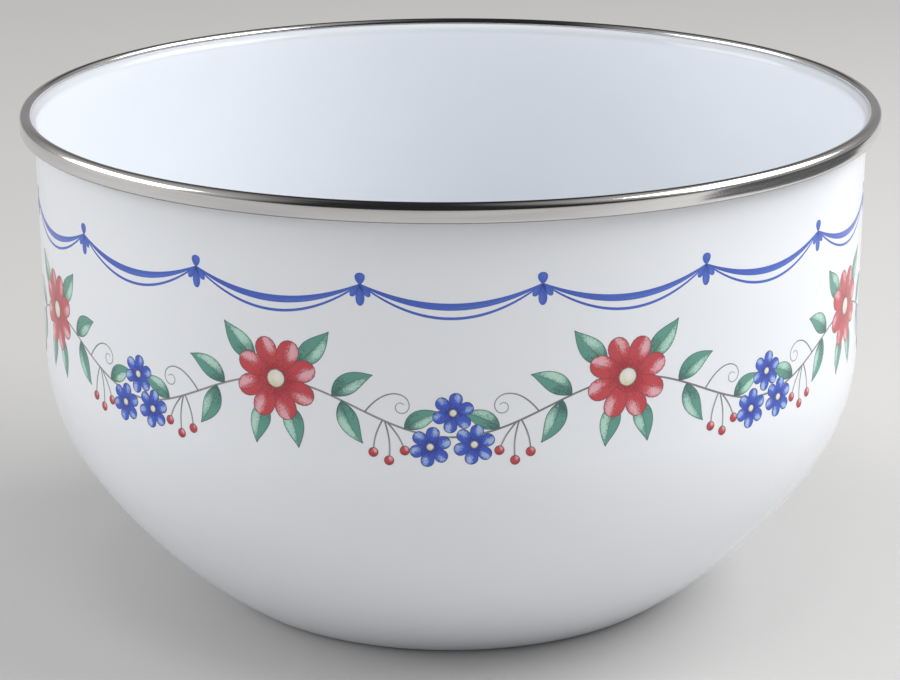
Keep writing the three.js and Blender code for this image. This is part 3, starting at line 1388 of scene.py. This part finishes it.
# Studio


@dataclass
class SoftBox:
    """A rectangular studio light.

    Attributes:
        name: Name of the light.
        place: Its middle.
        size: Width and height.
        power: Power in watts.
        target: The point that it faces.
        mirrored: Whether mirrors show it.
    """

    name: str
    place: tuple[float, float, float]
    size: tuple[float, float]
    power: float
    target: tuple[float, float, float] = (0.0, 0.0, 0.07)
    mirrored: bool = True

    @property
    def direction(self) -> Vector:
        """Unit vector from the target to the light."""
        return (Vector(self.place) - Vector(self.target)).normalized()

    def build(self) -> bpy.types.Object:
        """Makes the light, turned to face its target."""
        lamp = bpy.data.lights.new(self.name, "AREA")
        lamp.shape = "RECTANGLE"
        lamp.size, lamp.size_y = self.size
        lamp.energy = self.power
        made = bpy.data.objects.new(self.name, lamp)
        made.location = self.place
        made.rotation_euler = self.direction.to_track_quat("Z", "Y").to_euler()
        made.visible_camera = False
        made.visible_glossy = self.mirrored
        bpy.context.scene.collection.objects.link(made)
        return made


@dataclass
class Studio:
    """Table, soft boxes, dim room and the camera of the photograph.

    Mirrors show the room apart from the light that it gives: dark in front and overhead, grey low down at
    the back and to both sides of it, and a glow round each soft box. A dark card beside the bowl shows only
    in mirrors.

    Attributes:
        table_size: Length of the table's sides.
        table: Finish of the table.
        card: Finish of the card.
        card_corners: Corners of the card with the least and the greatest x and y.
        card_height: Height of the card over the table.
        level_rows: Rows and columns of vertices in the table and the card.
        room: Even light of the room.
        backdrop: What the camera sees past the table.
        mirrored_dark: What mirrors show in front and overhead.
        mirrored_back: What they show low down at the back.
        mirrored_sides: What they show at the sides.
        mirrored_glow: What they show round the soft boxes.
        back_steepness: Weight of a direction's height where the grey at the back ends.
        back_edges: Where the grey at the back starts and is full.
        side_edges: Where the grey at the sides starts and is full, by the size of the direction's part in X.
        front_edges: Where the grey at the sides starts and is full, by the direction's part in Y.
        glow_edges: Where a glow starts and is full, by the cosine of the angle from its box.
        camera_place: Where the camera stands.
        camera_elevation: Angle by which it looks down.
        camera_roll: Angle by which it is turned about its line of sight.
        lens: Its focal length, in millimetres.
        sensor_width: Width of its sensor, in millimetres.
        near_limit: Distance at which it starts to see.
        boxes: The soft boxes.
    """

    table_size: float = 9.0
    table: StageFinish = StageFinish("studio_table", (0.575, 0.569, 0.56), (0.562, 0.556, 0.547))
    card: StageFinish = StageFinish("dark_card", (0.03, 0.03, 0.034), (0.025, 0.025, 0.029))
    card_corners: tuple[tuple[float, float], tuple[float, float]] = ((0.52, -0.3), (1.5, 0.75))
    card_height: float = 0.5 * MM
    level_rows: int = 7
    room: Colour = (0.575, 0.575, 0.582)
    backdrop: Colour = (0.56, 0.54, 0.53)
    mirrored_dark: Colour = (0.02, 0.02, 0.022)
    mirrored_back: Colour = (0.32, 0.315, 0.31)
    mirrored_sides: Colour = (0.28, 0.275, 0.27)
    mirrored_glow: Colour = (0.5, 0.495, 0.49)
    back_steepness: float = 1.6
    back_edges: tuple[float, float] = (0.25, 0.55)
    side_edges: tuple[float, float] = (0.1, 0.5)
    front_edges: tuple[float, float] = (-0.15, 0.25)
    glow_edges: tuple[float, float] = (0.6, 0.95)
    camera_place: tuple[float, float, float] = (-0.0004, -0.8285, 0.3224)
    camera_elevation: float = math.radians(16.964)
    camera_roll: float = math.radians(-0.246)
    lens: float = 120.0
    sensor_width: float = 36.0
    near_limit: float = 0.01
    boxes: tuple[SoftBox, ...] = (
        SoftBox("key_box", (0.81, 0.03, 0.74), (1.0, 0.65), 10.1),
        SoftBox("fill_box", (-2.25, 0.19, 0.89), (1.9, 1.3), 24.0),
        SoftBox("top_box", (-0.16, -0.44, 1.50), (0.7, 0.5), 3.2, mirrored=False),
    )

    def build(self) -> None:
        """Makes the table, the lights, the room's dim light and the camera."""
        self._table()
        for box in self.boxes:
            box.build()
        self._room_light()
        self._camera()
        scene = bpy.context.scene
        scene.view_settings.view_transform = "Standard"
        scene.cycles.use_denoising = True

    def _table(self) -> None:
        """The table under the bowl, and the dark card that only mirrors show."""
        half = self.table_size / 2
        self._level("studio_table", (-half, -half), (half, half), 0.0, self.table)
        card = self._level("dark_card", *self.card_corners, self.card_height, self.card)
        card.visible_camera = card.visible_diffuse = card.visible_shadow = False

    def _level(self, name: str, low: tuple[float, float], high: tuple[float, float], height: float,
               finish: StageFinish) -> bpy.types.Object:
        """Makes a level grid that belongs to the stage.

        Args:
            name: Name of the object.
            low: Corner with the least x and y.
            high: Corner with the greatest x and y.
            height: Height over the origin.
            finish: Its finish.

        Returns:
            The new object.
        """
        rows = self.level_rows
        x, y = np.meshgrid(*np.linspace(low, high, rows).T)
        vertices = np.stack([x, y, np.full_like(x, height)], axis=-1).reshape(-1, 3)
        grid = MeshData(vertices, [grid_quads(rows, rows, False, False)])
        made = grid.to_object(name, finish.material())
        return made

    def _room_light(self) -> None:
        """Even light from the room, and what mirrors show of it.

        The grey at the back fades with the direction's y less the steepness times its z, and a glow fades
        with the cosine of the angle from its box.
        """
        world = bpy.data.worlds.new("studio_room")
        world.use_nodes = True
        nodes = Nodes(world.node_tree)
        toward = nodes.node("ShaderNodeTexCoord", {}).outputs["Generated"]
        aside, back, up = nodes.parts(toward)
        low_back = nodes.ease(nodes.total(back, nodes.product(up, -self.back_steepness)), *self.back_edges)
        mirrored = nodes.mix(low_back, self.mirrored_dark, self.mirrored_back)
        beside = nodes.ease(nodes.magnitude(aside), *self.side_edges)
        sides = nodes.product(beside, nodes.ease(back, *self.front_edges))
        mirrored = nodes.mix(sides, mirrored, self.mirrored_sides)
        for box in self.boxes:
            if box.mirrored:
                glow = nodes.ease(nodes.cosine(toward, box.direction), *self.glow_edges)
                mirrored = nodes.mix(glow, mirrored, self.mirrored_glow)
        rays = nodes.node("ShaderNodeLightPath", {}).outputs
        light = nodes.mix(rays["Is Glossy Ray"], self.room, mirrored)
        light = nodes.mix(rays["Is Camera Ray"], light, self.backdrop)
        nodes.feed(world.node_tree.nodes["Background"].inputs["Color"], light)
        bpy.context.scene.world = world

    def _camera(self) -> None:
        """A camera that looks along +Y and down by its elevation, turned by its roll."""
        data = bpy.data.cameras.new("photo_camera")
        data.lens = self.lens
        data.sensor_fit = "HORIZONTAL"
        data.sensor_width = self.sensor_width
        data.clip_start = self.near_limit
        made = bpy.data.objects.new("photo_camera", data)
        tilt = Matrix.Rotation(math.pi / 2 - self.camera_elevation, 4, "X")
        roll = Matrix.Rotation(self.camera_roll, 4, "Z")
        made.matrix_world = Matrix.Translation(self.camera_place) @ tilt @ roll
        bpy.context.scene.collection.objects.link(made)
        bpy.context.scene.camera = made


def report(piece: bpy.types.Object) -> None:
    """Rides a piece on the bowl's one body and reports it."""
    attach(piece, BODY)
    LOG.info("%s: %d faces", piece.name, len(piece.data.polygons))


def main() -> None:
    """Builds the bowl, its rim band, its print and the studio."""
    logging.basicConfig(level=logging.INFO, format="%(name)s %(message)s")
    rim = RimSizes.from_frame()
    bowl = PressedBowl(rim)
    for piece in bowl.build():
        report(piece)
    report(RimBand(rim, bowl).build())
    wall = PrintedWall(bowl.outer_face())
    for piece in Garland(wall).build():
        report(piece)
    report(SwagBorder(wall).build())
    Studio().build()


if __name__ == "__main__":
    main()
